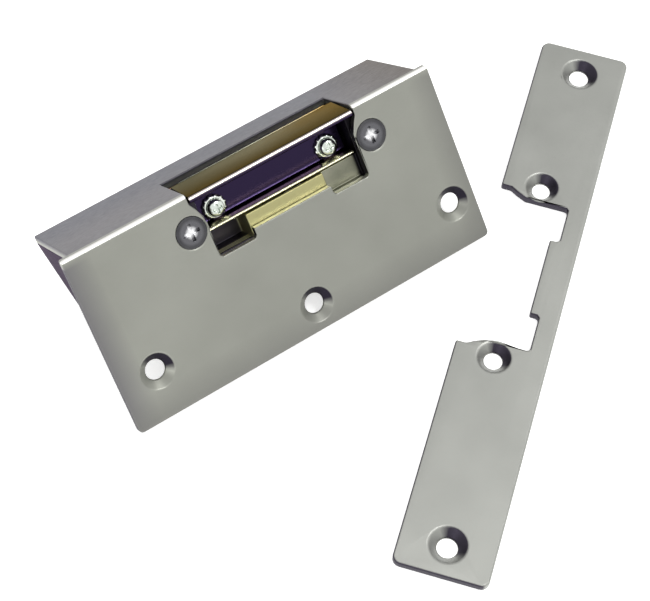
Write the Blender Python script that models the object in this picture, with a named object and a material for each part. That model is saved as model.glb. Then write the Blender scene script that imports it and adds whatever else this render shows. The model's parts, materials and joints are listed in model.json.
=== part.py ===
# Electric door strike on an angle faceplate, with its loose flat faceplate beside it.
# Sizes are in millimetres: x runs along the plate, v from the bend to the free edge, d into the wall.
import bpy
import bmesh
from math import acos, atan2, cos, degrees, pi, radians, sin
from mathutils import Vector

MM = 0.001
GAP = 0.3  # air between pieces that touch

# angle faceplate
plate_length = 102.0
plate_height = 47.0
plate_thick = 2.0
flange_depth = 27.0
flange_inset = 2.5
bend_radius = 1.2
corner_radius = 1.2
mount_hole_r = 2.5
mount_sink_r = 4.6
mount_left_x = 10.0
mount_right_x = plate_length - 6.4
mount_row_v = plate_height - 12.0
mount_middle_v = plate_height - 6.6

# cutout and keeper bay, shared by both faceplates
bay_x = plate_length / 2 + 5.6
bay_half = 21.2
mouth_half = bay_half + 2.2
mouth_v = 2.6
notch_v = 17.9
tongue_v = 15.5
tongue_half = 11.0
screw_head_r = 4.0
screw_spread = bay_half + screw_head_r + 0.3
screw_v = 9.0
screw_shank_r = 2.0
screw_length = 12.0
screw_recess = (4.4, 0.9, 1.1)
sink_share = 0.85

# keeper and its pin, seen along x
keeper_half = bay_half - 0.6
pin_r = 1.5
clip_r = pin_r + 0.9
pin_v = plate_thick + clip_r + 0.2
pin_d = 12.6
knuckle_r = pin_r + 1.5
keeper_wall = 1.8
keeper_taper = 0.8
keeper_front = 0.0
keeper_wing_half = mouth_half - 0.5
keeper_wing_d = 10.5
floor_d = 7.0
floor_thick = 1.5
lip_v = 11.0
lip_thick = 0.8
lip_front = 2.6
keeper_screw_v = 8.3
keeper_screw_spread = 16.0
keeper_screw_r = 1.25
keeper_head_r = 2.2
keeper_head = 1.7
keeper_recess = (2.5, 0.6, 0.9)
washer_thick = 0.6
washer_split = 0.4
pin_overhang = 1.4
clip_thick = 0.6
keeper_spring_r = pin_r + 0.5
spring_wire_r = 0.2

# locking pawl: its nose lies over the keeper's catch, along a slope that both share
catch_d = floor_d + floor_thick
nose_v = lip_v + lip_thick + 0.65
nose_slope = (1.7, 2.4)
nose_rise = 3.7
pawl_x = bay_x + 3.4
pawl_width = 6.0
pawl_pin_v = nose_v + 2.95
pawl_pin_d = 19.5
pawl_pin_r = 1.1
pawl_pin_left = 4.6
pawl_pin_right = 6.5
pawl_boss_r = 2.3
pawl_top_d = catch_d - 4.6
pawl_tail_d = 24.5
pawl_back_v = nose_v + 3.15
pawl_spring_d = 10.0

# die-cast frame
frame_back = 27.0
frame_low_v = pawl_pin_v + pawl_boss_r + 2.3
frame_half = bay_half + 9.3
frame_left = bay_x - frame_half
frame_right = bay_x + frame_half
bay_wall_v = lip_v + lip_thick + 0.5
coil_bay_d = 16.2
coil_bay_v = pawl_pin_v - 0.4
coil_bay_wall = 1.2
notch_pocket_d = (9.0, 3.6)

# electromagnet
coil_v = 8.0
coil_d = 21.2
coil_left = frame_left + 5.1
coil_length = pawl_x - pawl_width / 2 - 5.0 - coil_left
bobbin_r = 4.6
bobbin_bore_r = 2.45
bobbin_tube = 0.6
bobbin_cheek = 0.9
core_r = 2.2
strip = 1.2
armature_gap = 1.0
armature_d = 17.9
armature_pin_r = 0.7
armature_knuckle_r = 1.5
armature_lap = 0.35

# rear housing
wall = 1.5
housing_d = frame_back + 0.4 + wall
housing_inset = 2.8
housing_slant = 2.9
housing_low_v = frame_low_v + GAP + wall
cover_screw_v = frame_low_v - 2.6
cover_screw_inset = 5.0
cover_screw_r = 1.5
cover_screw_length = 4.5
cover_head_r = 2.7
cover_head = 1.4
cover_recess = (3.0, 0.7, 0.9)
grommet_r = 3.0
grommet_lip = 1.1
grommet_x = housing_inset + housing_slant + wall + grommet_r + grommet_lip
grommet_v = (plate_thick + housing_low_v) / 2

# terminal block, between the grommet and the frame
terminal_left = grommet_x + grommet_r + 1.9
terminal_right = frame_left - 1.5
terminal_top_v = plate_thick + 2.0
terminal_deep = 10.0
terminal_pitch = 8.0
terminal_well_r = 2.3
terminal_head_r = 1.8
clamp_half = (1.9, 1.3)
clamp_thick = 0.8

# loose flat faceplate
loose_length = 154.0
loose_width = 23.0
loose_thick = 2.5
loose_bay_x = loose_length - 70.5
loose_end_hole = 7.7
loose_corner = 2.0
loose_screw_v = screw_v + 1.0
loose_turn = 39.75
loose_place = (-20.2, -90.7)

# the strike leans on its free edge and on the housing's back corner
lean = atan2(housing_d - plate_thick, plate_height - housing_low_v)
rest_height = plate_height * sin(lean) + plate_thick * cos(lean)


def clear_scene():
    for old in list(bpy.data.objects):
        bpy.data.objects.remove(old, do_unlink=True)


def make_material(name, color, roughness, metallic):
    material = bpy.data.materials.new(name)
    material.use_nodes = True
    shader = material.node_tree.nodes["Principled BSDF"]
    shader.inputs["Base Color"].default_value = (*color, 1.0)
    shader.inputs["Roughness"].default_value = roughness
    shader.inputs["Metallic"].default_value = metallic
    return material


FINISHES = {
    "satin_plate": ((0.34, 0.345, 0.31), 0.42, 0.9),
    "loose_plate": ((0.37, 0.375, 0.345), 0.45, 0.9),
    "gold_zinc": ((0.42, 0.34, 0.14), 0.28, 1.0),
    "bright_steel": ((0.62, 0.63, 0.62), 0.22, 1.0),
    "die_cast": ((0.40, 0.40, 0.36), 0.45, 0.8),
    "housing_grey": ((0.10, 0.09, 0.11), 0.5, 0.7),
    "copper": ((0.55, 0.25, 0.10), 0.35, 0.9),
    "soft_iron": ((0.30, 0.30, 0.31), 0.4, 0.9),
    "black_plastic": ((0.03, 0.03, 0.03), 0.5, 0.0),
    "nylon": ((0.62, 0.60, 0.52), 0.5, 0.0),
    "spring_steel": ((0.30, 0.29, 0.28), 0.3, 1.0),
    "brass": ((0.60, 0.45, 0.18), 0.3, 1.0),
}


def place(x, v, d):
    return Vector(((x - plate_length / 2) * MM, -v * MM, -d * MM))


def finish(mesh_data, name, parent, finish_name=None):
    mesh = bpy.data.meshes.new(name)
    bmesh.ops.remove_doubles(mesh_data, verts=mesh_data.verts, dist=1e-7)
    bmesh.ops.recalc_face_normals(mesh_data, faces=mesh_data.faces)
    mesh_data.to_mesh(mesh)
    mesh_data.free()
    made = bpy.data.objects.new(name, mesh)
    bpy.context.scene.collection.objects.link(made)
    made.parent = parent
    if finish_name:
        mesh.materials.append(bpy.data.materials[finish_name])
    else:
        made.hide_render = True
        made.display_type = "WIRE"
    return made


def prism(name, parent, outline, low, high, along, finish_name=None):
    """A straight prism: the outline is (v, d), (x, d) or (x, v) for along x, v or d."""
    mesh = bmesh.new()
    rings = []
    for step in (low, high):
        spots = {
            "x": [(step, a, b) for a, b in outline],
            "v": [(a, step, b) for a, b in outline],
            "d": [(a, b, step) for a, b in outline],
        }[along]
        rings.append([mesh.verts.new(place(*spot)) for spot in spots])
    mesh.faces.new(rings[0])
    mesh.faces.new(rings[1])
    count = len(outline)
    for i in range(count):
        j = (i + 1) % count
        mesh.faces.new((rings[0][i], rings[0][j], rings[1][j], rings[1][i]))
    return finish(mesh, name, parent, finish_name)


def block(name, parent, low, high, finish_name=None):
    outline = [(low[1], low[2]), (high[1], low[2]), (high[1], high[2]), (low[1], high[2])]
    return prism(name, parent, outline, low[0], high[0], "x", finish_name)


def turned(name, parent, centre, profile, along, finish_name=None, sides=32, flat_side=False):
    """A turned solid: profile is (distance along the axis, radius), closed at both ends."""
    mesh = bmesh.new()
    stretch = 1 / cos(pi / sides) if flat_side else 1.0
    rings = []
    for step, radius in profile:
        ring = []
        for i in range(sides):
            a = 2 * pi * (i + 0.5) / sides
            p = radius * stretch * cos(a)
            q = radius * stretch * sin(a)
            shift = {"x": (step, p, q), "v": (p, step, q), "d": (p, q, step)}[along]
            ring.append(mesh.verts.new(place(*(c + s for c, s in zip(centre, shift)))))
        rings.append(ring)
    mesh.faces.new(rings[0])
    mesh.faces.new(rings[-1])
    for one, two in zip(rings, rings[1:]):
        for i in range(sides):
            j = (i + 1) % sides
            mesh.faces.new((one[i], one[j], two[j], two[i]))
    made = finish(mesh, name, parent, finish_name)
    made.data.shade_smooth()
    made.data.set_sharp_from_angle(angle=radians(35))
    return made


def rod(name, parent, start, length, radius, along, finish_name=None, sides=24):
    return turned(name, parent, start, [(0, radius), (length, radius)], along, finish_name, sides)


def bore(name, parent, start, length, radius, along, sides=24):
    return turned(name, parent, start, [(0, radius), (length, radius)], along, None, sides, True)


def combine(target, cutters, operation="DIFFERENCE"):
    for cutter in cutters:
        modifier = target.modifiers.new(cutter.name, "BOOLEAN")
        modifier.operation = operation
        modifier.solver = "EXACT"
        modifier.object = cutter
    return target


def arc(centre_a, centre_b, radius, start, end, steps):
    turns = [radians(start + (end - start) * i / steps) for i in range(steps + 1)]
    return [(centre_a + radius * cos(t), centre_b + radius * sin(t)) for t in turns]


def rounded_outline(low_a, low_b, high_a, high_b, low_radius, high_radius):
    """A rectangle whose corners are rounded by one radius at low b and another at high b."""
    return (
        arc(low_a + low_radius, low_b + low_radius, low_radius, 180, 270, 4)
        + arc(high_a - low_radius, low_b + low_radius, low_radius, 270, 360, 4)
        + arc(high_a - high_radius, high_b - high_radius, high_radius, 0, 90, 6)
        + arc(low_a + high_radius, high_b - high_radius, high_radius, 90, 180, 6)
    )


def coil_spring(name, parent, start, along, turns, pitch, radius, wire_r, finish_name):
    """A helix of round wire with plain ends, starting at start and growing along its axis."""
    mesh = bmesh.new()
    steps = int(turns * 14)
    sides = 6
    rings = []
    for i in range(steps + 1):
        a = 2 * pi * turns * i / steps
        advance = pitch * turns * i / steps
        ring = []
        for k in range(sides):
            b = 2 * pi * k / sides
            reach = radius + wire_r * cos(b)
            forward = advance + wire_r * sin(b)
            p, q = reach * cos(a), reach * sin(a)
            shift = {"x": (forward, p, q), "v": (p, forward, q), "d": (p, q, forward)}[along]
            ring.append(mesh.verts.new(place(*(c + s for c, s in zip(start, shift)))))
        rings.append(ring)
    mesh.faces.new(rings[0])
    mesh.faces.new(rings[-1])
    for one, two in zip(rings, rings[1:]):
        for k in range(sides):
            m = (k + 1) % sides
            mesh.faces.new((one[k], one[m], two[m], two[k]))
    return finish(mesh, name, parent, finish_name)


def cross_recess(name, parent, centre, along, recess):
    """Two crossed slots that sink into a screw head from its outer face: recess is (span, width, depth)."""
    span, width, depth = recess
    cutters = []
    for i, (half_p, half_q) in enumerate(((span / 2, width / 2), (width / 2, span / 2))):
        corners = {
            "x": [(-depth, -half_p, -half_q), (depth, half_p, half_q)],
            "v": [(-half_p, -depth, -half_q), (half_p, depth, half_q)],
            "d": [(-half_p, -half_q, -depth), (half_p, half_q, depth)],
        }[along]
        low, high = ([c + s for c, s in zip(centre, shift)] for shift in corners)
        cutters.append(block(f"{name}_slot_{i}", parent, low, high))
    return cutters


def bay_cut(name, parent, centre_x, low_d, high_d):
    """The faceplate's opening for the keeper: a wide mouth, two deep end notches and a tongue."""
    half = [
        (mouth_half, -2.0), (mouth_half, mouth_v), (bay_half + 1.2, mouth_v + 1.6),
        (bay_half, mouth_v + 4.2), (bay_half, notch_v - 0.5), (bay_half - 0.5, notch_v),
        (tongue_half + 0.6, notch_v), (tongue_half, notch_v - 0.6), (tongue_half, tongue_v),
    ]
    right = [(centre_x + a, b) for a, b in half]
    left = [(centre_x - a, b) for a, b in reversed(half)]
    return prism(name, parent, right + left, low_d, high_d, "d")


def sink_hole(name, parent, x, v, thick, hole_r, sink_r):
    """A countersunk hole, as one turned cutter from just above the face to below the plate."""
    sink_depth = thick * sink_share
    profile = [(-1.0, sink_r + 0.02), (0.0, sink_r), (sink_depth, hole_r), (thick + 1.0, hole_r)]
    return turned(name, parent, (x, v, 0.0), profile, "d", None, 32, True)


def make_angle_faceplate(parent):
    r, t = bend_radius, plate_thick
    profile = [(plate_height, 0.0), (plate_height, t), (t, t), (t, flange_depth), (0.0, flange_depth)]
    profile += arc(r, r, r, 180, 270, 5)
    plate = prism("angle_faceplate", parent, profile, 0.0, plate_length, "x", "satin_plate")
    outline = rounded_outline(0.0, -0.5, plate_length, plate_height, 1.2, corner_radius)
    shape = prism("faceplate_outline", parent, outline, -1.0, flange_depth + 1.0, "d")
    combine(plate, [shape], "INTERSECT")
    ends = [
        block("ear_cut_left", parent, (-1.0, -1.0, t), (flange_inset, t + 1.0, flange_depth + 1)),
        block("ear_cut_right", parent, (plate_length - flange_inset, -1.0, t),
              (plate_length + 1.0, t + 1.0, flange_depth + 1)),
    ]
    slot = block("flange_slot", parent, (bay_x - mouth_half, -1.0, -1.0),
                 (bay_x + mouth_half, t + 0.5, pin_d + knuckle_r + GAP))
    holes = [
        sink_hole(f"mount_hole_{i}", parent, x, v, t, mount_hole_r, mount_sink_r)
        for i, (x, v) in enumerate((
            (mount_left_x, mount_row_v),
            ((mount_left_x + mount_right_x) / 2, mount_middle_v),
            (mount_right_x, mount_row_v),
        ))
    ]
    holes += [
        sink_hole(f"body_hole_{i}", parent, bay_x + side * screw_spread, screw_v, t,
                  screw_shank_r + GAP, screw_head_r + 0.15)
        for i, side in enumerate((-1, 1))
    ]
    combine(plate, ends + [slot, bay_cut("face_opening", parent, bay_x, -1.0, t + 0.5)] + holes)


def make_loose_faceplate(parent):
    outline = rounded_outline(0.0, 0.0, loose_length, loose_width, loose_corner, loose_corner)
    plate = prism("loose_faceplate", parent, outline, 0.0, loose_thick, "d", "loose_plate")
    centre_v = loose_width / 2
    holes = [
        sink_hole(f"loose_end_hole_{i}", parent, x, centre_v, loose_thick, mount_hole_r, mount_sink_r)
        for i, x in enumerate((loose_end_hole, loose_length - loose_end_hole))
    ]
    holes += [
        sink_hole(f"loose_body_hole_{i}", parent, loose_bay_x + side * screw_spread, loose_screw_v,
                  loose_thick, screw_shank_r + GAP, screw_head_r + 0.15)
        for i, side in enumerate((-1, 1))
    ]
    combine(plate, [bay_cut("loose_opening", parent, loose_bay_x, -1.0, loose_thick + 0.5)] + holes)


def make_body_screws(parent):
    for side, label in ((-1, "left"), (1, "right")):
        x = bay_x + side * screw_spread
        cone = plate_thick * sink_share
        profile = [(0.05, screw_head_r), (cone, screw_shank_r), (screw_length, screw_shank_r)]
        screw = turned(f"faceplate_screw_{label}", parent, (x, screw_v, 0.0), profile, "d",
                       "bright_steel", 28)
        combine(screw, cross_recess(screw.name, parent, (x, screw_v, 0.05), "d", screw_recess))


def make_frame(parent):
    front = plate_thick + GAP
    frame = block("strike_frame", parent, (frame_left, front, front),
                  (frame_right, frame_low_v, frame_back), "die_cast")
    cuts = [
        block("keeper_bay", parent, (bay_x - bay_half, -1, 0),
              (bay_x + bay_half, bay_wall_v, coil_bay_d)),
        block("coil_bay", parent, (frame_left + coil_bay_wall, -1, coil_bay_d - 0.1),
              (pawl_x - 0.2, coil_bay_v, frame_back + 1)),
        block("pawl_bay", parent,
              (pawl_x - pawl_width / 2 - 0.5, bay_wall_v - 1, pawl_top_d - 0.5),
              (pawl_x + pawl_width / 2 + 0.5, frame_low_v - 0.8, pawl_tail_d + 0.8)),
        rod("keeper_pin_hole", parent, (frame_left - 1, pin_v, pin_d), 2 * frame_half + 2,
            pin_r + 0.2, "x"),
        rod("pawl_pin_hole", parent, (pawl_x - pawl_pin_left - 0.2, pawl_pin_v, pawl_pin_d),
            pawl_pin_left + pawl_pin_right + 0.4, pawl_pin_r + 0.2, "x"),
        rod("armature_pin_hole", parent, (armature_x(), 1, armature_d), 17, armature_pin_r + 0.2, "v"),
        block("spring_slot", parent, (bay_x + bay_half - 0.2, -1, pin_d - keeper_spring_r - 1.4),
              (bay_x + bay_half + 3.6, pin_v + keeper_spring_r + 1.1, pin_d + keeper_spring_r + 1.4)),
    ]
    for side, pocket_d in zip((-1, 1), notch_pocket_d):
        x = bay_x + side * screw_spread
        cuts.append(bore(f"screw_bore_{side + 1}", parent, (x, screw_v, front - 1),
                         screw_length, screw_shank_r + 0.2, "d"))
        low = min(side * tongue_half, side * bay_half)
        cuts.append(block(f"notch_pocket_{side + 1}", parent, (bay_x + low, bay_wall_v - 1, 0),
                          (bay_x + low + bay_half - tongue_half, notch_v, pocket_d)))
        cuts.append(bore(f"cover_bore_{side + 1}", parent, (cover_screw_x(side), cover_screw_v,
                         frame_back - cover_screw_length - 0.5), cover_screw_length + 2.5,
                         cover_screw_r + 0.2, "d"))
    combine(frame, cuts)


def cover_screw_x(side):
    return bay_x + side * (frame_half - cover_screw_inset)


def armature_x():
    return coil_left + coil_length + 0.6 + armature_gap + strip / 2


def make_keeper(parent):
    v0 = GAP / 2
    wall_v = v0 + keeper_taper + keeper_wall
    f0 = keeper_front
    nose_r = keeper_wall / 2
    floor_back = floor_d + floor_thick
    out_v = lip_v + lip_thick
    nose = arc(wall_v - nose_r, f0 + nose_r, nose_r, 180, 360, 6)
    profile = nose + [(wall_v, floor_d - 1.2), (wall_v + 1.2, floor_d)]
    profile += [(lip_v - 0.9, floor_d), (lip_v - 0.25, floor_d - 0.25), (lip_v, floor_d - 0.9)]
    profile += [(lip_v, lip_front), (lip_v + lip_thick / 2, lip_front - 0.4), (out_v, lip_front)]
    profile += [(out_v, floor_back), (pin_v + knuckle_r, floor_back)]
    profile += arc(pin_v, pin_d, knuckle_r, 0, 180, 12)
    profile += [(v0, pin_d - 1.6)]
    low, high = bay_x - keeper_half, bay_x + keeper_half
    keeper = prism("keeper", parent, profile, low, high, "x", "gold_zinc")
    slope_v, slope_d = nose_slope
    top_v, top_d = nose_v - 0.25, catch_d - nose_rise + 0.17
    tab = [
        (out_v - 0.4, top_d - (top_v - out_v + 0.4) * slope_d / slope_v), (top_v, top_d),
        (top_v + slope_v, top_d + slope_d), (top_v + slope_v, floor_back), (out_v - 0.4, floor_back),
    ]
    catch = prism("keeper_catch", parent, tab, pawl_x - pawl_width / 2, pawl_x + pawl_width / 2, "x")
    wing_v = plate_thick - GAP / 2
    wing = prism("keeper_wings", parent,
                 nose + [(wall_v, plate_thick), (wing_v, plate_thick), (wing_v, keeper_wing_d),
                         (v0, keeper_wing_d)],
                 bay_x - keeper_wing_half, bay_x + keeper_wing_half, "x")
    combine(keeper, [catch, wing], "UNION")
    holes = [rod("keeper_bore", parent, (low - 1, pin_v, pin_d), 2 * keeper_half + 2, pin_r + 0.2, "x")]
    for side in (-1, 1):
        holes.append(bore(f"keeper_screw_bore_{side + 1}", parent,
                          (bay_x + side * keeper_screw_spread, keeper_screw_v, floor_d - 1),
                          floor_thick + 3.6, keeper_screw_r + 0.2, "d", 20))
    combine(keeper, holes)


def make_keeper_parts(root, keeper_axis):
    reach = frame_half + pin_overhang
    rod("keeper_pivot_pin", root, (bay_x - reach, pin_v, pin_d), 2 * reach, pin_r, "x", "bright_steel")
    for side, label in ((-1, "left"), (1, "right")):
        clip_x = bay_x + side * (frame_half + GAP + clip_thick / 2)
        clip = turned(f"pin_clip_{label}", root, (clip_x, pin_v, pin_d),
                      [(-clip_thick / 2, clip_r), (clip_thick / 2, clip_r)], "x", "spring_steel", 24)
        combine(clip, [
            bore(f"clip_bore_{label}", root, (clip_x - 1, pin_v, pin_d), 2, pin_r + 0.15, "x"),
            block(f"clip_mouth_{label}", root, (clip_x - 1, pin_v - pin_r / 2, pin_d),
                  (clip_x + 1, pin_v + pin_r / 2, pin_d + clip_r + 1)),
        ])
        x = bay_x + side * keeper_screw_spread
        seat = GAP / 2
        washer = turned(f"keeper_washer_{label}", keeper_axis, (x, keeper_screw_v, floor_d),
                        [(-seat - washer_thick, keeper_head_r), (-seat, keeper_head_r)], "d",
                        "bright_steel", 24)
        combine(washer, [
            bore(f"washer_bore_{label}", keeper_axis, (x, keeper_screw_v, floor_d - 3), 4,
                 keeper_screw_r + 0.2, "d"),
            block(f"washer_gap_{label}", keeper_axis,
                  (x, keeper_screw_v - washer_split / 2, floor_d - 3),
                  (x + keeper_head_r + 1, keeper_screw_v + washer_split / 2, floor_d + 1)),
        ])
        under = -seat - washer_thick - GAP / 2
        head = [(under - keeper_head, keeper_screw_r), (under - keeper_head + 0.4, keeper_head_r - 0.25),
                (under - 0.3, keeper_head_r), (under, keeper_head_r), (under, keeper_screw_r),
                (floor_thick + 0.6, keeper_screw_r)]
        screw = turned(f"keeper_screw_{label}", keeper_axis, (x, keeper_screw_v, floor_d), head, "d",
                       "bright_steel", 24)
        combine(screw, cross_recess(screw.name, keeper_axis,
                                    (x, keeper_screw_v, floor_d + under - keeper_head), "d",
                                    keeper_recess))
    coil_spring("keeper_spring", root, (bay_x + bay_half + 0.5, pin_v, pin_d), "x", 4, 0.7,
                keeper_spring_r, spring_wire_r, "spring_steel")


def make_pawl(parent, root):
    half = pawl_width / 2
    slope_v, slope_d = nose_slope
    nose_d = catch_d - nose_rise
    nose = [(nose_v, pawl_top_d), (nose_v, nose_d), (nose_v + slope_v, nose_d + slope_d),
            (nose_v + slope_v, 16.8)]
    boss = arc(pawl_pin_v, pawl_pin_d, pawl_boss_r, 220, 140, 8)
    tail = [(pawl_pin_v - 1.0, pawl_tail_d), (pawl_pin_v + 1.0, pawl_tail_d)]
    back = arc(pawl_pin_v, pawl_pin_d, pawl_boss_r, 50, -50, 8)
    profile = nose + boss + tail + back + [(pawl_back_v, 16.8), (pawl_back_v, pawl_top_d)]
    pawl = prism("locking_pawl", parent, profile, pawl_x - half, pawl_x + half, "x", "bright_steel")
    combine(pawl, [rod("pawl_bore", parent, (pawl_x - half - 1, pawl_pin_v, pawl_pin_d),
                       pawl_width + 2, pawl_pin_r + 0.2, "x")])
    rod("pawl_pin", root, (pawl_x - pawl_pin_left, pawl_pin_v, pawl_pin_d), pawl_pin_left + pawl_pin_right,
        pawl_pin_r, "x", "bright_steel", 20)
    coil_spring("pawl_spring", root, (pawl_x, pawl_back_v + GAP + spring_wire_r, pawl_spring_d), "v", 3, 0.6,
                1.3, spring_wire_r, "spring_steel")


def make_magnet(root, armature_axis):
    right = coil_left + coil_length
    centre = (coil_left, coil_v, coil_d)
    tube_r = bobbin_bore_r + bobbin_tube
    bobbin = turned("coil_bobbin", root, centre, [
        (0, bobbin_r), (bobbin_cheek, bobbin_r), (bobbin_cheek, tube_r),
        (coil_length - bobbin_cheek, tube_r), (coil_length - bobbin_cheek, bobbin_r),
        (coil_length, bobbin_r)], "x", "nylon", 28)
    combine(bobbin, [bore("bobbin_bore", root, (coil_left - 1, coil_v, coil_d), coil_length + 2,
                          bobbin_bore_r, "x")])
    winding = turned("coil_winding", root, centre, [
        (bobbin_cheek + GAP, bobbin_r - 0.4), (coil_length - bobbin_cheek - GAP, bobbin_r - 0.4)],
        "x", "copper", 28)
    combine(winding, [bore("winding_bore", root, (coil_left, coil_v, coil_d), coil_length,
                           tube_r + 0.2, "x")])
    leg = coil_left - GAP - strip
    rod("magnet_core", root, (leg + strip + GAP, coil_v, coil_d), right + 0.6 - leg - strip - GAP,
        core_r, "x", "soft_iron")
    base_d = coil_d + bobbin_r + GAP
    outline = [
        (leg, coil_d - 4.2), (leg + strip, coil_d - 4.2), (leg + strip, base_d),
        (right - 1.0, base_d), (right - 1.0, base_d + 0.9), (leg, base_d + 0.9),
    ]
    yoke = prism("magnet_yoke", root, outline, coil_v - 4.0, coil_v + 4.0, "v", "soft_iron")
    combine(yoke, [bore("yoke_bore", root, (leg - 1, coil_v, coil_d), strip + 1.5, 1.0 + 0.2, "x")])
    head = [(-1.5, 1.4), (-1.2, 1.9), (-GAP, 1.9), (-GAP, 1.0), (strip + GAP - 0.1, 1.0)]
    turned("core_screw", root, (leg, coil_v, coil_d), head, "x", "bright_steel", 20)

    x = armature_x()
    left_face, right_face = x - strip / 2, x + strip / 2
    finger = pawl_x - pawl_width / 2 + armature_lap
    low_v, finger_v = coil_v - 3.5, pawl_pin_v - 1.4
    plate = [(left_face, frame_back - 1.2), (right_face, frame_back - 1.2)]
    meet = degrees(acos(strip / 2 / armature_knuckle_r))
    knuckle = arc(x, armature_d, armature_knuckle_r, meet, -180 - meet, 14)
    armature = prism("armature", armature_axis, plate + knuckle, low_v, coil_v + 3.5, "v", "soft_iron")
    arm = block("armature_finger", armature_axis, (left_face, coil_v + 3.0, coil_d + 1.6),
                (finger, finger_v, frame_back - 1.2))
    combine(armature, [arm], "UNION")
    combine(armature, [rod("armature_bore", armature_axis, (x, low_v - 1, armature_d), 9,
                           armature_pin_r + 0.2, "v", None, 16)])
    rod("armature_pin", root, (x, plate_thick + 0.6, armature_d), 14.6, armature_pin_r, "v",
        "bright_steel", 16)
    coil_spring("armature_spring", root, (right_face + GAP + spring_wire_r, coil_v - 1.0, coil_d + 1.5),
                "x", 4, 0.85, 1.2, spring_wire_r, "spring_steel")


def housing_outline(top_v, bottom_v, deeper):
    """The housing's outline in x and v: its ends close in by housing_slant over its height."""
    slope = housing_slant / (housing_low_v - plate_thick - GAP)
    top_x, bottom_x = (housing_inset + deeper + slope * (v - plate_thick - GAP) for v in (top_v, bottom_v))
    return [(top_x, top_v), (plate_length - top_x, top_v),
            (plate_length - bottom_x, bottom_v), (bottom_x, bottom_v)]


def make_housing(parent):
    front = plate_thick + GAP
    back_inner = housing_d - wall
    housing = prism("rear_housing", parent, housing_outline(front, housing_low_v, 0.0),
                    front, housing_d, "d", "housing_grey")
    cuts = [prism("housing_hollow", parent, housing_outline(-1.0, housing_low_v - wall, wall),
                  0.0, back_inner, "d")]
    cuts.append(bore("grommet_hole", parent, (grommet_x, grommet_v, back_inner - 1), wall + 2,
                     grommet_r, "d"))
    for side in (-1, 1):
        cuts.append(bore(f"cover_hole_{side + 1}", parent,
                         (cover_screw_x(side), cover_screw_v, back_inner - 1), wall + 2,
                         cover_screw_r + 0.2, "d"))
    combine(housing, cuts)
    for side, label in ((-1, "left"), (1, "right")):
        top = GAP + cover_head
        head = [(-cover_screw_length, cover_screw_r), (GAP, cover_screw_r), (GAP, cover_head_r),
                (top - 0.4, cover_head_r - 0.2), (top, cover_head_r - 1.1)]
        screw = turned(f"housing_screw_{label}", parent, (cover_screw_x(side), cover_screw_v, housing_d),
                       head, "d", "bright_steel", 24)
        combine(screw, cross_recess(screw.name, parent,
                                    (cover_screw_x(side), cover_screw_v, housing_d + top), "d",
                                    cover_recess))
    lip_r = grommet_r + grommet_lip
    lips = [(-0.9, lip_r), (-GAP, lip_r), (-GAP, grommet_r - GAP), (wall + GAP, grommet_r - GAP),
            (wall + GAP, lip_r), (wall + 0.9, lip_r - 0.1)]
    grommet = turned("wire_grommet", parent, (grommet_x, grommet_v, back_inner), lips, "d",
                     "black_plastic", 24)
    combine(grommet, [bore("grommet_bore", parent, (grommet_x, grommet_v, back_inner - 2), wall + 4,
                           grommet_r - 1.2, "d")])


def make_terminals(parent):
    deep = housing_d - wall - GAP
    body = block("terminal_block", parent, (terminal_left, terminal_top_v, deep - terminal_deep),
                 (terminal_right, frame_low_v, deep), "black_plastic")
    x = (terminal_left + terminal_right) / 2
    middle_v = (terminal_top_v + frame_low_v) / 2
    half_x, half_v = clamp_half
    clamp_d = deep - terminal_deep / 2
    cuts = []
    for i, side in enumerate((-1, 1)):
        v = middle_v + side * terminal_pitch / 2
        cuts.append(bore(f"terminal_well_{i}", parent, (x, v, deep - terminal_deep - 2), 7.0,
                         terminal_well_r, "d"))
        cuts.append(block(f"terminal_mouth_{i}", parent,
                          (terminal_left - 1, v - half_v - GAP, clamp_d - clamp_thick - 0.6),
                          (x + half_x + GAP, v + half_v + GAP, clamp_d + 1.8)))
        head_d = deep - terminal_deep + 1.0
        screw = turned(f"terminal_screw_{i + 1}", parent, (x, v, head_d),
                       [(0, terminal_head_r), (1.4, terminal_head_r), (1.4, 1.1), (2.9, 1.1)], "d",
                       "brass", 20)
        combine(screw, [block(f"terminal_drive_{i}", parent, (x - 2, v - 0.3, head_d - 0.5),
                              (x + 2, v + 0.3, head_d + 0.6))])
        block(f"terminal_clamp_{i + 1}", parent, (x - half_x, v - half_v, clamp_d - clamp_thick),
              (x + half_x, v + half_v, clamp_d), "brass")
    combine(body, cuts)


def frame_empty(name, parent, location, turn):
    empty = bpy.data.objects.new(name, None)
    bpy.context.scene.collection.objects.link(empty)
    empty.parent = parent
    empty.location = location
    empty.rotation_euler = turn
    return empty


def axis_empty(name, parent, spot):
    """An empty on a joint's axis, with a second one that puts its pieces back in the strike's frame."""
    pivot = frame_empty(name, parent, spot, (0, 0, 0))
    return frame_empty(name + "_pieces", pivot, -spot, (0, 0, 0))


def loose_origin():
    """Where x = plate_length / 2, v = 0, d = 0 of the loose plate lies."""
    turn = radians(loose_turn)
    start = Vector((loose_place[0], loose_place[1], loose_thick))
    return (start + Vector((cos(turn), sin(turn), 0)) * plate_length / 2) * MM


def centre_on_origin(tops):
    """Move both halves so that the whole object's box is centred on x = 0, y = 0."""
    turn = radians(loose_turn)
    along = Vector((cos(turn), sin(turn)))
    across = Vector((sin(turn), -cos(turn)))
    middle = Vector(loose_place) + along * loose_length / 2 + across * loose_width / 2
    long_half, wide_half = loose_length / 2 - loose_corner, loose_width / 2 - loose_corner
    reach = [abs(along[i]) * long_half + abs(across[i]) * wide_half + loose_corner for i in (0, 1)]
    low_x = min(-plate_length / 2, middle.x - reach[0])
    high_x = max(plate_length / 2, middle.x + reach[0])
    low_y = min(-plate_height * cos(lean), middle.y - reach[1])
    high_y = max(flange_depth * sin(lean), middle.y + reach[1])
    for top in tops:
        top.location.x -= (low_x + high_x) / 2 * MM
        top.location.y -= (low_y + high_y) / 2 * MM


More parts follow.
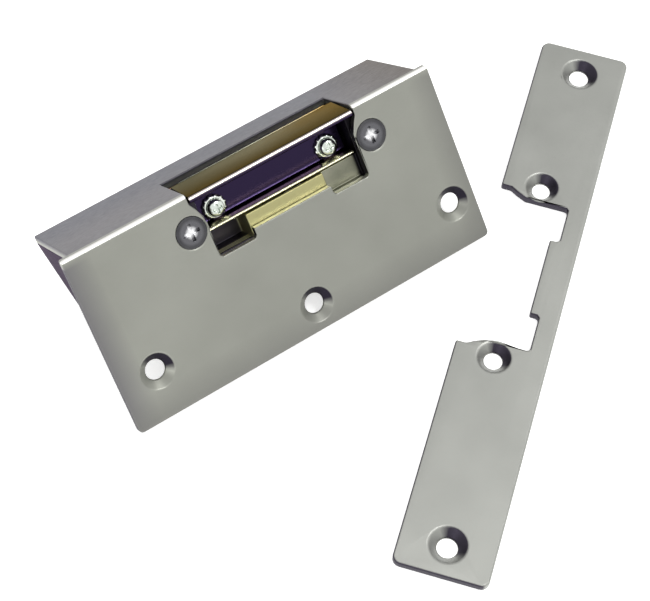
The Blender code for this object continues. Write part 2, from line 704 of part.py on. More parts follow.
clear_scene()
for finish_name, (color, roughness, metallic) in FINISHES.items():
    make_material(finish_name, color, roughness, metallic)
strike = frame_empty("strike_lean", None, (0, 0, rest_height * MM), (lean, 0, 0))
keeper_axis = axis_empty("keeper_axis", strike, place(bay_x, pin_v, pin_d))
pawl_axis = axis_empty("pawl_axis", strike, place(pawl_x, pawl_pin_v, pawl_pin_d))
armature_axis = axis_empty("armature_axis", strike, place(armature_x(), coil_v, armature_d))
make_angle_faceplate(strike)
make_body_screws(strike)
make_frame(strike)
make_keeper(keeper_axis)
make_keeper_parts(strike, keeper_axis)
make_pawl(pawl_axis, strike)
make_magnet(strike, armature_axis)
make_housing(strike)
make_terminals(strike)

loose = frame_empty("loose_place", None, loose_origin(), (0, 0, radians(loose_turn)))
make_loose_faceplate(loose)
centre_on_origin((strike, loose))
print("built", len([o for o in bpy.data.objects if o.type == "MESH" and not o.hide_render]), "pieces")
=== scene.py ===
import json
from math import atan2, cos, radians, sin

import bmesh
import bpy
from mathutils import Matrix, Vector


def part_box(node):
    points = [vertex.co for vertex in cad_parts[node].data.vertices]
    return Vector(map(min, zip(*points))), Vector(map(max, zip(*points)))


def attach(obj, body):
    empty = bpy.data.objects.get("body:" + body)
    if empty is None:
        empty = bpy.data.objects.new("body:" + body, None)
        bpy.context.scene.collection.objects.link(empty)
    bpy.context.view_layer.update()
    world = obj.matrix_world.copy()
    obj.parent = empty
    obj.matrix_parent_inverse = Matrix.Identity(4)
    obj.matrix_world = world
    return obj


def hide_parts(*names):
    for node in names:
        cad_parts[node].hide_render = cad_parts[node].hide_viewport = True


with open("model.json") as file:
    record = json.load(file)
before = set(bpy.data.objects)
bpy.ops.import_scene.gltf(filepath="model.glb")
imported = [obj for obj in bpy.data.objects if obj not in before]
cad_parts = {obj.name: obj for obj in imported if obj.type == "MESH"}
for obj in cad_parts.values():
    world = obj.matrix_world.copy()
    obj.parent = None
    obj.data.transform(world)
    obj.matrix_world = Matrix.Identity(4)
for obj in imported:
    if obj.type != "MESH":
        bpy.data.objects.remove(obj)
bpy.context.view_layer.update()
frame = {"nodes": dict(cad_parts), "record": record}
scene = bpy.context.scene
mm = 0.001

bodyOf = {node: body for body, nodes in frame["record"]["behaviour"]["bodies"].items() for node in nodes}

print("frame loaded:", len(frame["nodes"]), "solids")

# The strike leans on its free edge, so its own directions are worked out once:
# x along the plate, v from the bend to the free edge, d into the wall.
strike = {
    "plateHeight": 47.0,
    "plateThick": 2.0,
    "housingDepth": 28.9,
    "housingLowV": 21.8,
    "bayX": 56.6,  # middle of the cutout and of the two body screws
    "screwSpread": 25.5,  # from that middle to each screw
    "screwV": 9.0,
}
strikeLean = atan2(strike["housingDepth"] - strike["plateThick"],
                   strike["plateHeight"] - strike["housingLowV"])
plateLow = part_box("angle_faceplate")[0]
xWay = Vector((1, 0, 0))
vWay = Vector((0, -cos(strikeLean), -sin(strikeLean)))
dWay = Vector((0, sin(strikeLean), -cos(strikeLean)))
freeEdgeRise = strike["plateHeight"] * sin(strikeLean) + strike["plateThick"] * cos(strikeLean)
strikeOrigin = Vector((
    plateLow.x,
    plateLow.y + strike["plateHeight"] * cos(strikeLean) * mm,
    plateLow.z + freeEdgeRise * mm,
))


def onStrike(x, v, d, along="x"):
    ways = {"x": (vWay, dWay, xWay), "v": (dWay, xWay, vWay), "d": (xWay, vWay, dWay)}[along]
    spot = strikeOrigin + (xWay * x + vWay * v + dWay * d) * mm
    return Matrix.Translation(spot) @ Matrix(ways).transposed().to_4x4()


def strikeCentre(node):
    low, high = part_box(node)
    middle = (Vector(low) + Vector(high)) / 2 - strikeOrigin
    return middle.x / mm, middle.dot(vWay) / mm, middle.dot(dWay) / mm


# camera

cameraView = {
    "fromStrike": (-89.072, -213.511, 390.053),  # mm from the left end of the bend
    "forward": (0.299569, 0.386237, -0.872398),
    "right": (0.828334, -0.559014, 0.036946),
    "lens": 109.870,
    "sensor": 36.0,
    "clip": (0.01, 20),
}


def makeCamera(values):
    data = bpy.data.cameras.new("studioCamera")
    data.lens = values["lens"]
    data.sensor_width = values["sensor"]
    data.clip_start, data.clip_end = values["clip"]
    camera = bpy.data.objects.new("studioCamera", data)
    scene.collection.objects.link(camera)
    right = Vector(values["right"]).normalized()
    forward = Vector(values["forward"]).normalized()
    turn = Matrix((right, right.cross(forward), -forward)).transposed()
    place = strikeOrigin + Vector(values["fromStrike"]) * mm
    camera.matrix_world = Matrix.Translation(place) @ turn.to_4x4()
    scene.camera = camera


makeCamera(cameraView)


# shader pieces that the finishes share

def newMaterial(name):
    material = bpy.data.materials.new(name)
    material.use_nodes = True
    tree = material.node_tree
    tree.nodes.clear()
    output = tree.nodes.new("ShaderNodeOutputMaterial")
    shader = tree.nodes.new("ShaderNodeBsdfPrincipled")
    output.location, shader.location = (900, 0), (600, 0)
    tree.links.new(shader.outputs["BSDF"], output.inputs["Surface"])
    return material, tree, shader


def calculate(tree, operation, *values):
    node = tree.nodes.new("ShaderNodeMath")
    node.operation = operation
    for socket, value in zip(node.inputs, values):
        if isinstance(value, (int, float)):
            socket.default_value = value
        else:
            tree.links.new(value, socket)
    return node.outputs[0]


def mapRange(tree, value, low, high, toLow, toHigh):
    node = tree.nodes.new("ShaderNodeMapRange")
    for name, number in zip(("From Min", "From Max", "To Min", "To Max"), (low, high, toLow, toHigh)):
        node.inputs[name].default_value = number
    tree.links.new(value, node.inputs["Value"])
    return node.outputs["Result"]


# millimetres on the strike's own axes, stretched along each of them
def strikeCoordinates(tree, stretch=(1, 1, 1), lean=True):
    coords = tree.nodes.new("ShaderNodeTexCoord")
    place = tree.nodes.new("ShaderNodeMapping")
    place.inputs["Rotation"].default_value = (-strikeLean if lean else 0, 0, 0)
    tree.links.new(coords.outputs["Object"], place.inputs["Vector"])
    size = tree.nodes.new("ShaderNodeMapping")
    size.inputs["Scale"].default_value = [share / mm for share in stretch]
    tree.links.new(place.outputs["Vector"], size.inputs["Vector"])
    return size.outputs["Vector"]


def noise(tree, vector, scale, detail=3.0, roughness=0.5):
    node = tree.nodes.new("ShaderNodeTexNoise")
    node.inputs["Scale"].default_value = scale
    node.inputs["Detail"].default_value = detail
    node.inputs["Roughness"].default_value = roughness
    tree.links.new(vector, node.inputs["Vector"])
    return node.outputs["Fac"]


def ramp(tree, value, stops):
    node = tree.nodes.new("ShaderNodeValToRGB")
    elements = node.color_ramp.elements
    while len(elements) < len(stops):
        elements.new(0.5)
    for element, (place, colour) in zip(elements, stops):
        element.position = place
        element.color = (*colour, 1)
    tree.links.new(value, node.inputs["Fac"])
    return node.outputs["Color"]


def addBump(tree, shader, height, strength, depth):
    node = tree.nodes.new("ShaderNodeBump")
    node.inputs["Strength"].default_value = strength
    node.inputs["Distance"].default_value = depth * mm
    tree.links.new(height, node.inputs["Height"])
    tree.links.new(node.outputs["Normal"], shader.inputs["Normal"])


def blendColours(tree, share, one, two):
    node = tree.nodes.new("ShaderNodeMix")
    node.data_type = "RGBA"
    for socket, value in ((node.inputs[6], one), (node.inputs[7], two)):
        if isinstance(value, tuple):
            socket.default_value = (*value, 1)
        else:
            tree.links.new(value, socket)
    tree.links.new(share, node.inputs[0])
    return node.outputs[2]


# how far a wall faces one way: 1 is straight at it, -1 straight away
def wallFacing(tree, coords, way):
    node = tree.nodes.new("ShaderNodeVectorMath")
    node.operation = "DOT_PRODUCT"
    tree.links.new(coords.outputs["Normal"], node.inputs[0])
    node.inputs[1].default_value = way
    return node.outputs["Value"]


# where the light falls least on each plate's walls
shadedWays = {"strike": vWay * 0.8 - xWay * 0.6, "loosePlate": (-0.996, 0.092, 0)}


# x, v and d in millimetres, which way a wall faces, and how far the nearer body screw is
def strikeSpot(tree):
    coords = tree.nodes.new("ShaderNodeTexCoord")
    place = tree.nodes.new("ShaderNodeMapping")
    place.inputs["Rotation"].default_value = (-strikeLean, 0, 0)
    place.inputs["Location"].default_value = -(Matrix.Rotation(-strikeLean, 3, "X") @ strikeOrigin)
    tree.links.new(coords.outputs["Object"], place.inputs["Vector"])
    size = tree.nodes.new("ShaderNodeMapping")
    size.inputs["Scale"].default_value = (1 / mm, -1 / mm, -1 / mm)
    tree.links.new(place.outputs["Vector"], size.inputs["Vector"])
    split = tree.nodes.new("ShaderNodeSeparateXYZ")
    tree.links.new(size.outputs["Vector"], split.inputs["Vector"])
    across = calculate(tree, "ABSOLUTE", calculate(tree, "SUBTRACT", split.outputs[0], strike["bayX"]))
    aside = calculate(tree, "SUBTRACT", across, strike["screwSpread"])
    down = calculate(tree, "SUBTRACT", split.outputs[1], strike["screwV"])
    squares = [calculate(tree, "MULTIPLY", part, part) for part in (aside, down)]
    return {**dict(zip("xvd", split.outputs)),
            "shaded": wallFacing(tree, coords, shadedWays["strike"]),
            "fromScrew": calculate(tree, "SQRT", calculate(tree, "ADD", *squares))}


# millimetres below the loose plate's top face, and which way a wall faces
def loosePlateSpot(tree):
    coords = tree.nodes.new("ShaderNodeTexCoord")
    split = tree.nodes.new("ShaderNodeSeparateXYZ")
    tree.links.new(coords.outputs["Object"], split.inputs["Vector"])
    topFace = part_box("loose_faceplate")[1][2]
    deepest = 4
    return {"depth": mapRange(tree, split.outputs["Z"], topFace, topFace - deepest * mm, 0, deepest),
            "shaded": wallFacing(tree, coords, shadedWays["loosePlate"])}


# how far a place is inside a zone: each edge is (way, where it starts, where it is full)
def zoneShare(tree, spot, edges):
    shares = [mapRange(tree, spot[way], start, full, 0, 1) for way, start, full in edges]
    share = shares[0]
    for other in shares[1:]:
        share = calculate(tree, "MULTIPLY", share, other)
    return share


def paintZones(tree, spot, colour, zones):
    for zoneColour, edges in zones:
        colour = blendColours(tree, zoneShare(tree, spot, edges), colour, zoneColour)
    return colour


# metal and plastic finishes

plateZones = [
    ((0.105, 0.10, 0.108), [("v", 1.2, 0.4), ("d", 1.2, 2.0)]),  # flange, painted shade
    ((0.075, 0.075, 0.092), [("v", 1.2, 0.4), ("d", 10, 22)]),  # flange, low: more painted shade further from the bend
    ((0.055, 0.042, 0.034), [("v", 1.2, 0.4), ("d", 1.2, 2.0), ("x", 78, 98)]),  # flange, right: brownish painted shade
    ((0.165, 0.16, 0.168), [("x", 7, -1), ("v", 1.2, 2.5)]),  # left end of the face, painted shade
    ((0.20, 0.20, 0.185), [("v", 39, 50)]),  # painted shade towards the free edge
    ((0.20, 0.20, 0.185), [("x", 95, 105), ("v", 1.2, 2.5)]),  # right end of the face, painted shade
    ((0.97, 0.96, 0.93), [("v", 0.95, 0.6), ("d", 0.95, 0.6)]),  # painted highlight along the bend
    ((0.96, 0.95, 0.86), [("d", 0.1, 0.3), ("v", 11.5, 12.0), ("v", 19, 18.4), ("x", 34, 35),
                          ("x", 79, 78), ("shaded", -0.3, -0.6)]),  # painted highlight on the cut edge of the tongue
    ((0.025, 0.022, 0.032), [("d", 0.1, 0.3), ("v", 2.0, 2.6), ("shaded", 0.05, 0.35)]),  # shaded walls
]
loosePlateZones = [
    ((0.045, 0.04, 0.055), [("depth", 0.02, 0.12), ("shaded", 0.05, 0.4)]),  # shaded walls
]
screwZones = [
    ((0.13, 0.13, 0.14), [("fromScrew", 3.3, 2.6)]),
    ((0.85, 0.85, 0.86), [("fromScrew", 1.7, 0.8)]),  # painted highlight round the cross recess
]
frameZones = [
    # painted light: lighter near the flange, lifting the shade in the keeper slot
    ((0.5, 0.5, 0.5), [("v", 4.0, 3.0)]),
    ((0.40, 0.38, 0.19), [("x", 45.2, 45.8), ("x", 68.0, 67.4), ("v", 10.5, 11.2)]),  # bay floor: yellow zinc, lightened as painted light where the bay lies in shade
    ((0.035, 0.032, 0.04), [("x", 45.6, 45.0)]),  # left notch, painted shade in its deep pocket
    # painted highlight on the ledge at the foot of the left notch
    ((0.98, 0.95, 0.62), [("x", 45.6, 45.0), ("v", 17.0, 17.3), ("d", 5.6, 5.2), ("d", 2.6, 3.0)]),
    ((0.014, 0.013, 0.016), [("x", 76.6, 77.2)]),  # right notch: painted shade, black at the right end of the bay
]

# Grain is how often it repeats per millimetre along x, v and d; blotch is the size of the
# broad clouds in millimetres; bump is its strength and its depth in millimetres.
metals = {
    "satinPlate": {"dark": (0.265, 0.27, 0.24), "light": (0.315, 0.32, 0.285), "roughness": (0.36, 0.48),
                   "grain": (0.7, 3.2, 3.2), "blotch": 22.0, "bump": (0.25, 0.02), "zones": plateZones},
    "loosePlate": {"dark": (0.325, 0.33, 0.308), "light": (0.385, 0.39, 0.365), "roughness": (0.38, 0.52),
                   "grain": (2.6, 2.6, 2.6), "blotch": 18.0, "bump": (0.35, 0.02), "lean": False,
                   "zones": loosePlateZones},
    "headSteel": {"dark": (0.10, 0.10, 0.105), "light": (0.19, 0.19, 0.19), "roughness": (0.2, 0.32),
                  "grain": (2.0, 2.0, 2.0), "blotch": 6.0, "bump": (0.2, 0.02)},
    "plateScrew": {"dark": (0.055, 0.055, 0.06), "light": (0.10, 0.10, 0.105), "roughness": (0.2, 0.32),
                   "grain": (2.0, 2.0, 2.0), "blotch": 6.0, "bump": (0.2, 0.02), "zones": screwZones},
    "brightZinc": {"dark": (0.55, 0.60, 0.55), "light": (0.82, 0.86, 0.80), "roughness": (0.12, 0.26),
                   "grain": (1.6, 1.6, 1.6), "blotch": 3.0, "bump": (0.6, 0.06)},
    "dieCast": {"dark": (0.17, 0.175, 0.13), "light": (0.30, 0.30, 0.235), "roughness": (0.34, 0.52),
                "grain": (1.1, 1.1, 1.1), "blotch": 9.0, "bump": (0.4, 0.05), "zones": frameZones},
    "housingSheet": {"dark": (0.050, 0.045, 0.054), "light": (0.090, 0.083, 0.094),
                     "roughness": (0.34, 0.5), "grain": (0.9, 2.4, 2.4), "blotch": 14.0,
                     "bump": (0.25, 0.02), "slant": (0.45, 0.4, 0.48)},
    "copperWire": {"dark": (0.46, 0.17, 0.06), "light": (0.66, 0.30, 0.13), "roughness": (0.18, 0.3),
                   "grain": (1.0, 3.0, 3.0), "blotch": 5.0, "bump": (0.1, 0.01)},
    "softIron": {"dark": (0.22, 0.22, 0.23), "light": (0.36, 0.36, 0.37), "roughness": (0.36, 0.52),
                 "grain": (1.4, 1.4, 1.4), "blotch": 7.0, "bump": (0.3, 0.03)},
    "springWire": {"dark": (0.24, 0.23, 0.22), "light": (0.40, 0.39, 0.37), "roughness": (0.2, 0.34),
                   "grain": (0.8, 2.4, 2.4), "blotch": 4.0, "bump": (0.15, 0.01)},
    "turnedBrass": {"dark": (0.55, 0.40, 0.15), "light": (0.72, 0.55, 0.24), "roughness": (0.16, 0.28),
                    "grain": (3.0, 0.8, 0.8), "blotch": 5.0, "bump": (0.2, 0.01)},
    "blackPlastic": {"dark": (0.018, 0.018, 0.019), "light": (0.035, 0.035, 0.037),
                     "roughness": (0.42, 0.58), "grain": (2.2, 2.2, 2.2), "blotch": 10.0,
                     "bump": (0.35, 0.03), "metallic": 0.0},
    "nylon": {"dark": (0.60, 0.58, 0.49), "light": (0.72, 0.70, 0.61), "roughness": (0.4, 0.52),
              "grain": (1.8, 1.8, 1.8), "blotch": 10.0, "bump": (0.2, 0.02), "metallic": 0.0},
}

# how grain and clouds share the way from a finish's dark colour to its light one
mixing = {
    "grainShare": 0.45,
    "cloudShare": 0.55,
    "cloudFrom": 0.25,
    "cloudTo": 0.75,
    "darkAt": 0.2,
    "lightAt": 0.8,
    "grainFrom": 0.3,
    "grainTo": 0.7,
}


def metalFinish(name, dark, light, roughness, grain, blotch, bump, metallic=1.0, lean=True, zones=(),
                slant=(1, 1, 1)):
    material, tree, shader = newMaterial(name)
    fine = noise(tree, strikeCoordinates(tree, grain, lean), 1.0, detail=4.0, roughness=0.6)
    broad = noise(tree, strikeCoordinates(tree, lean=lean), 1 / blotch, detail=2.0)
    clouds = mapRange(tree, broad, mixing["cloudFrom"], mixing["cloudTo"], 0, mixing["cloudShare"])
    mixed = calculate(tree, "MULTIPLY_ADD", fine, mixing["grainShare"], clouds)
    colour = ramp(tree, mixed, [(mixing["darkAt"], dark), (mixing["lightAt"], light)])
    if zones:
        colour = paintZones(tree, strikeSpot(tree) if lean else loosePlateSpot(tree), colour, zones)
    tree.links.new(colour, shader.inputs["Base Color"])
    rough = mapRange(tree, fine, mixing["grainFrom"], mixing["grainTo"], *roughness)
    tree.links.new(rough, shader.inputs["Roughness"])
    shader.inputs["Metallic"].default_value = metallic
    shader.inputs["Specular Tint"].default_value = (*slant, 1)  # how bright it is seen at a low angle
    addBump(tree, shader, fine, *bump)
    return material


keeperValues = {
    "topLeft": (0.048, 0.054, 0.044),
    "topMiddle": (0.100, 0.100, 0.074),
    "topRight": (0.082, 0.054, 0.018),
    "topFrom": 44,  # x where the top's colours start
    "topTo": 88,  # and where they end
    "stir": 16.0,  # how far the clouds move those colours
    "zones": [
        ((0.020, 0.016, 0.008), [("d", 8.5, 1.5)]),  # front
        ((0.85, 0.76, 0.72), [("d", 0.5, 0.2)]),  # painted highlight on the nose edge
        ((0.026, 0.018, 0.045), [("v", 1.5, 1.9)]),  # channel
        ((0.80, 0.78, 0.55), [("v", 10.0, 10.4), ("d", 4.8, 4.2)]),  # lip: pale yellow painted highlight
    ],
    "slant": (0.68, 0.61, 0.50),
    "roughness": (0.16, 0.28),
    "bump": (0.08, 0.01),
}


def makeKeeperFinish(values):
    material, tree, shader = newMaterial("passivatedKeeper")
    spot = strikeSpot(tree)
    cloud = noise(tree, strikeCoordinates(tree, (0.25, 1, 1)), 0.5)
    stirred = calculate(tree, "MULTIPLY_ADD", cloud, values["stir"], spot["x"])
    top = ramp(tree, mapRange(tree, stirred, values["topFrom"], values["topTo"], 0, 1),
               [(0.0, values["topLeft"]), (0.5, values["topMiddle"]), (0.95, values["topRight"])])
    tree.links.new(paintZones(tree, spot, top, values["zones"]), shader.inputs["Base Color"])
    fine = noise(tree, strikeCoordinates(tree, (0.8, 3, 3)), 1.0)
    rough = mapRange(tree, fine, mixing["grainFrom"], mixing["grainTo"], *values["roughness"])
    tree.links.new(rough, shader.inputs["Roughness"])
    shader.inputs["Metallic"].default_value = 1.0
    shader.inputs["Specular Tint"].default_value = (*values["slant"], 1)
    addBump(tree, shader, fine, *values["bump"])
    return material


finishes = {name: metalFinish(name, **values) for name, values in metals.items()}
finishes["passivatedKeeper"] = makeKeeperFinish(keeperValues)

print("materials made:", len(finishes))


# finished copies of the CAD solids: clean faces, small rounded edges

copyValues = {
    "weldWithin": 0.002,  # mm
    "flatWithin": 0.5,  # degrees
    "sharpAbove": 32,  # degrees
    "edgeSteps": 2,
    "faceWeight": 80,
}


def finishedCopy(node, name, finish, edge, values):
    bm = bmesh.new()
    bm.from_mesh(frame["nodes"][node].data)
    bmesh.ops.remove_doubles(bm, verts=bm.verts, dist=values["weldWithin"] * mm)
    bmesh.ops.join_triangles(bm, faces=bm.faces, angle_face_threshold=radians(values["flatWithin"]),
                             angle_shape_threshold=radians(180))
    mesh = bpy.data.meshes.new(name)
    for face in bm.faces:
        face.smooth = True
    bm.to_mesh(mesh)
    bm.free()
    piece = bpy.data.objects.new(name, mesh)
    scene.collection.objects.link(piece)
    bevel = piece.modifiers.new("roundedEdges", "BEVEL")
    bevel.width = edge * mm
    bevel.segments = values["edgeSteps"]
    bevel.limit_method = "ANGLE"
    bevel.angle_limit = radians(values["sharpAbove"])
    bevel.use_clamp_overlap = False
    bevel.loop_slide = False
    weigh = piece.modifiers.new("evenNormals", "WEIGHTED_NORMAL")
    weigh.keep_sharp = True
    weigh.weight = values["faceWeight"]
    bpy.context.view_layer.update()
    settled = bpy.data.meshes.new_from_object(piece.evaluated_get(bpy.context.evaluated_depsgraph_get()))
    piece.modifiers.clear()
    piece.data = settled
    settled.materials.clear()
    settled.materials.append(finishes[finish])
    return piece


# every metal or moulded part that keeps its CAD outline: (edge rounding in mm, finish)

plainParts = {
    "angle_faceplate": (0.28, "satinPlate"),
    "loose_faceplate": (0.45, "loosePlate"),
    "strike_frame": (0.3, "dieCast"),
    "keeper": (0.15, "passivatedKeeper"),
    "keeper_pivot_pin": (0.2, "brightZinc"),
    "locking_pawl": (0.25, "headSteel"),
    "pawl_pin": (0.15, "brightZinc"),
    "armature": (0.15, "softIron"),
    "armature_pin": (0.1, "brightZinc"),
    "magnet_core": (0.15, "softIron"),
    "magnet_yoke": (0.2, "softIron"),
    "core_screw": (0.12, "headSteel"),
    "coil_bobbin": (0.12, "nylon"),
    "coil_winding": (0.1, "copperWire"),
    "rear_housing": (0.4, "housingSheet"),
    "terminal_block": (0.25, "blackPlastic"),
    "wire_grommet": (0.25, "blackPlastic"),
    "faceplate_screw_left": (0.12, "plateScrew"),
    "faceplate_screw_right": (0.12, "plateScrew"),
    "keeper_screw_left": (0.1, "brightZinc"),
    "keeper_screw_right": (0.1, "brightZinc"),
    "housing_screw_left": (0.1, "headSteel"),
    "housing_screw_right": (0.1, "headSteel"),
    "terminal_clamp_1": (0.12, "turnedBrass"),
    "terminal_clamp_2": (0.12, "turnedBrass"),
    "terminal_screw_1": (0.1, "turnedBrass"),
    "terminal_screw_2": (0.1, "turnedBrass"),
    "pin_clip_left": (0.08, "springWire"),
    "pin_clip_right": (0.08, "springWire"),
}

for node, (edge, finish) in plainParts.items():
    piece = finishedCopy(node, "seen_" + node, finish, edge, copyValues)
    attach(piece, bodyOf[node])
    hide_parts(node)

print("finished copies made")


# springs, wire and washers, made with Geometry Nodes

def newTree(name, sizes):
    tree = bpy.data.node_groups.new(name, "GeometryNodeTree")
    tree.interface.new_socket("Geometry", in_out="OUTPUT", socket_type="NodeSocketGeometry")
    for size, value in sizes.items():
        kind = "NodeSocketInt" if isinstance(value, int) else "NodeSocketFloat"
        tree.interface.new_socket(size, in_out="INPUT", socket_type=kind)
    return tree, tree.nodes.new("NodeGroupInput").outputs, tree.nodes.new("NodeGroupOutput")


def addNode(tree, kind, links=(), **settings):
    node = tree.nodes.new(kind)
    for key, value in settings.items():
        setattr(node, key, value)
    for socket, source in dict(links).items():
        target = node.inputs[socket]
        if isinstance(source, bpy.types.NodeSocket):
            tree.links.new(source, target)
        else:
            target.default_value = source
    return node


def endTree(tree, output, geometry, finish):
    real = addNode(tree, "GeometryNodeRealizeInstances", {"Geometry": geometry})
    painted = addNode(tree, "GeometryNodeSetMaterial", {"Geometry": real.outputs["Geometry"],
                                                        "Material": finishes[finish]})
    smooth = addNode(tree, "GeometryNodeSetShadeSmooth", {"Geometry": painted.outputs["Geometry"]})
    tree.links.new(smooth.outputs["Geometry"], output.inputs["Geometry"])


# a round wire of the given radius along a circle of the given radius
def wireLoop(tree, radius, wire, steps, wireSteps):
    loop = addNode(tree, "GeometryNodeCurvePrimitiveCircle", {"Resolution": steps, "Radius": radius})
    profile = addNode(tree, "GeometryNodeCurvePrimitiveCircle", {"Resolution": wireSteps, "Radius": wire})
    swept = addNode(tree, "GeometryNodeCurveToMesh", {"Curve": loop.outputs["Curve"],
                                                      "Profile Curve": profile.outputs["Curve"]})
    return swept.outputs["Mesh"]


def grow(tree, name, sizes, place):
    carrier = bpy.data.objects.new(name, bpy.data.meshes.new(name))
    scene.collection.objects.link(carrier)
    modifier = carrier.modifiers.new("build", "NODES")
    modifier.node_group = tree
    for socket in tree.interface.items_tree:
        if socket.in_out == "INPUT" and socket.name in sizes:
            modifier[socket.identifier] = sizes[socket.name]
    bpy.context.view_layer.update()
    mesh = bpy.data.meshes.new_from_object(carrier.evaluated_get(bpy.context.evaluated_depsgraph_get()))
    carrier.modifiers.clear()
    mesh.transform(place)
    carrier.data = mesh
    return carrier


springs = {
    "keeper_spring": {"along": "x", "Turns": 4.0, "Pitch": 0.7 * mm, "Radius": 2.0 * mm, "Wire": 0.2 * mm},
    "pawl_spring": {"along": "v", "Turns": 3.0, "Pitch": 0.6 * mm, "Radius": 1.3 * mm, "Wire": 0.2 * mm},
    "armature_spring": {"along": "x", "Turns": 4.0, "Pitch": 0.85 * mm, "Radius": 1.2 * mm,
                        "Wire": 0.2 * mm},
}


def makeSpringTree():
    tree, given, output = newTree("coiledSpring", {"Turns": 4.0, "Pitch": 1.0, "Radius": 1.0, "Wire": 1.0})
    height = addNode(tree, "ShaderNodeMath", {0: given["Turns"], 1: given["Pitch"]}, operation="MULTIPLY")
    spiral = addNode(tree, "GeometryNodeCurveSpiral", {
        "Resolution": 24, "Rotations": given["Turns"], "Start Radius": given["Radius"],
        "End Radius": given["Radius"], "Height": height.outputs[0], "Reverse": True})
    wire = addNode(tree, "GeometryNodeCurvePrimitiveCircle", {"Resolution": 10, "Radius": given["Wire"]})
    tube = addNode(tree, "GeometryNodeCurveToMesh", {
        "Curve": spiral.outputs["Curve"], "Profile Curve": wire.outputs["Curve"], "Fill Caps": True})
    endTree(tree, output, tube.outputs["Mesh"], "springWire")
    return tree


springTree = makeSpringTree()
for node, values in springs.items():
    x, v, d = strikeCentre(node)
    half = values["Turns"] * values["Pitch"] / mm / 2
    start = {"x": (x - half, v, d), "v": (x, v - half, d)}[values["along"]]
    spring = grow(springTree, "seen_" + node, values, onStrike(*start, values["along"]))
    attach(spring, bodyOf[node])
    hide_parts(node)


windingSizes = {"Turns": 42, "Length": 17.9 * mm, "Radius": 4.0 * mm, "Wire": 0.21 * mm}


def makeWindingTree(sizes):
    tree, given, output = newTree("coilWinding", sizes)
    way = addNode(tree, "ShaderNodeCombineXYZ", {"Z": given["Length"]})
    line = addNode(tree, "GeometryNodeMeshLine", {"Count": given["Turns"], "Offset": way.outputs[0]},
                   mode="END_POINTS")
    turn = wireLoop(tree, given["Radius"], given["Wire"], 40, 6)
    turns = addNode(tree, "GeometryNodeInstanceOnPoints", {"Points": line.outputs["Mesh"],
                                                           "Instance": turn})
    endTree(tree, output, turns.outputs["Instances"], "copperWire")
    return tree


x, v, d = strikeCentre("coil_winding")
winding = grow(makeWindingTree(windingSizes), "woundWire", windingSizes,
               onStrike(x - windingSizes["Length"] / mm / 2, v, d))
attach(winding, "strike")


starWasherSizes = {
    "Teeth": 12,
    "Ring": 2.45 * mm,
    "Rim": 0.5 * mm,
    "Reach": 1.3 * mm,
    "Thick": 0.5 * mm,
    "Twist": 0.5,  # radians that each tooth is turned
}


def makeStarWasherTree(sizes):
    tree, given, output = newTree("starWasher", sizes)
    circle = addNode(tree, "GeometryNodeMeshCircle", {"Vertices": given["Teeth"], "Radius": given["Ring"]})
    size = addNode(tree, "ShaderNodeCombineXYZ", {"X": given["Reach"], "Y": given["Reach"],
                                                  "Z": given["Thick"]})
    tooth = addNode(tree, "GeometryNodeMeshCube", {"Size": size.outputs[0]})
    spot = addNode(tree, "GeometryNodeInputPosition")
    facing = addNode(tree, "FunctionNodeAlignRotationToVector", {"Vector": spot.outputs[0]}, axis="X")
    twist = addNode(tree, "ShaderNodeCombineXYZ", {"X": given["Twist"]})
    turned = addNode(tree, "FunctionNodeRotateRotation", {"Rotation": facing.outputs[0],
                                                          "Rotate By": twist.outputs[0]},
                     rotation_space="LOCAL")
    teeth = addNode(tree, "GeometryNodeInstanceOnPoints", {
        "Points": circle.outputs["Mesh"], "Instance": tooth.outputs["Mesh"],
        "Rotation": turned.outputs[0]})
    both = addNode(tree, "GeometryNodeJoinGeometry")
    tree.links.new(teeth.outputs["Instances"], both.inputs[0])
    tree.links.new(wireLoop(tree, given["Ring"], given["Rim"], 48, 8), both.inputs[0])
    endTree(tree, output, both.outputs[0], "brightZinc")
    return tree


starWasherTree = makeStarWasherTree(starWasherSizes)
for side in ("left", "right"):
    node = "keeper_washer_" + side
    washer = grow(starWasherTree, "starWasher_" + side, starWasherSizes,
                  onStrike(*strikeCentre(node), "d"))
    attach(washer, bodyOf[node])
    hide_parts(node)

print("springs, winding and washers made")


# floor and light

floorValues = {"reach": 1.6, "shade": (0.88, 0.88, 0.875), "roughness": 0.9, "shine": 0.1, "glow": 0.6}


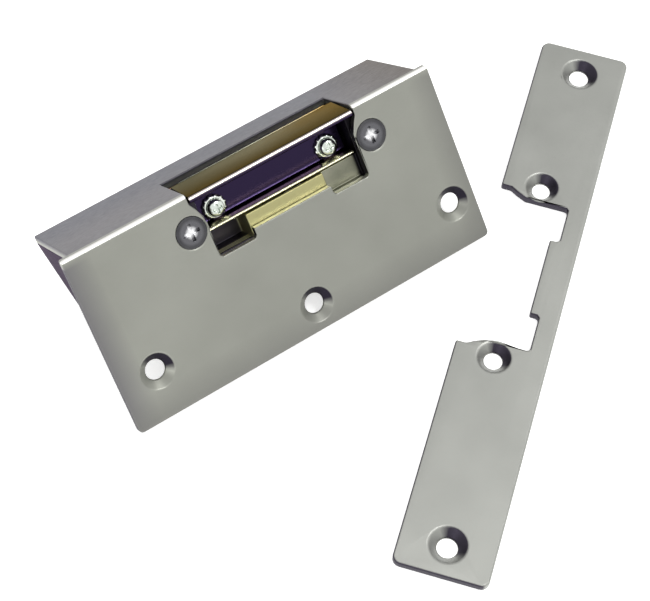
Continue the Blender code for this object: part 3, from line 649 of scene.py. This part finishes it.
def makeFloor(values):
    bm = bmesh.new()
    bmesh.ops.create_grid(bm, x_segments=8, y_segments=8, size=values["reach"])
    mesh = bpy.data.meshes.new("studioFloor")
    bm.to_mesh(mesh)
    bm.free()
    floor = bpy.data.objects.new("studioFloor", mesh)
    scene.collection.objects.link(floor)
    material, tree, shader = newMaterial("paleFloor")
    shader.inputs["Base Color"].default_value = (*values["shade"], 1)
    shader.inputs["Roughness"].default_value = values["roughness"]
    shader.inputs["Specular IOR Level"].default_value = values["shine"]
    shader.inputs["Emission Color"].default_value = (1, 1, 1, 1)
    shader.inputs["Emission Strength"].default_value = values["glow"]
    mesh.materials.append(material)


# each lamp looks at the middle of the floor, from the way and the metres given
lamps = {
    "keySoftbox": {"from": (0.3, -0.2, 0.93), "away": 0.9, "size": (0.4, 0.1), "power": 2.2},
    "leftSoftbox": {"from": (-0.85, -0.3, 0.5), "away": 1.1, "size": (0.4, 0.4), "power": 1.2},
}


def makeLamps(values):
    for name, lamp in values.items():
        data = bpy.data.lights.new(name, "AREA")
        data.shape = "RECTANGLE"
        data.size, data.size_y = lamp["size"]
        data.energy = lamp["power"]
        light = bpy.data.objects.new(name, data)
        scene.collection.objects.link(light)
        way = Vector(lamp["from"]).normalized()
        turn = way.to_track_quat("Z", "Y").to_matrix()
        light.matrix_world = Matrix.Translation(way * lamp["away"]) @ turn.to_4x4()


studioWorld = {"frontStrength": 1.15, "backStrength": 0.85}


def makeWorld(values):
    world = bpy.data.worlds.new("paleStudio")
    world.use_nodes = True
    tree = world.node_tree
    background = tree.nodes["Background"]
    background.inputs["Color"].default_value = (1, 1, 1, 1)
    coords = tree.nodes.new("ShaderNodeTexCoord")
    split = tree.nodes.new("ShaderNodeSeparateXYZ")
    tree.links.new(coords.outputs["Generated"], split.inputs["Vector"])
    strength = mapRange(tree, split.outputs["Y"], -1, 1, values["frontStrength"], values["backStrength"])
    tree.links.new(strength, background.inputs["Strength"])
    scene.world = world


makeFloor(floorValues)
makeLamps(lamps)
makeWorld(studioWorld)
scene.view_settings.view_transform = "Standard"

print("floor and light made")
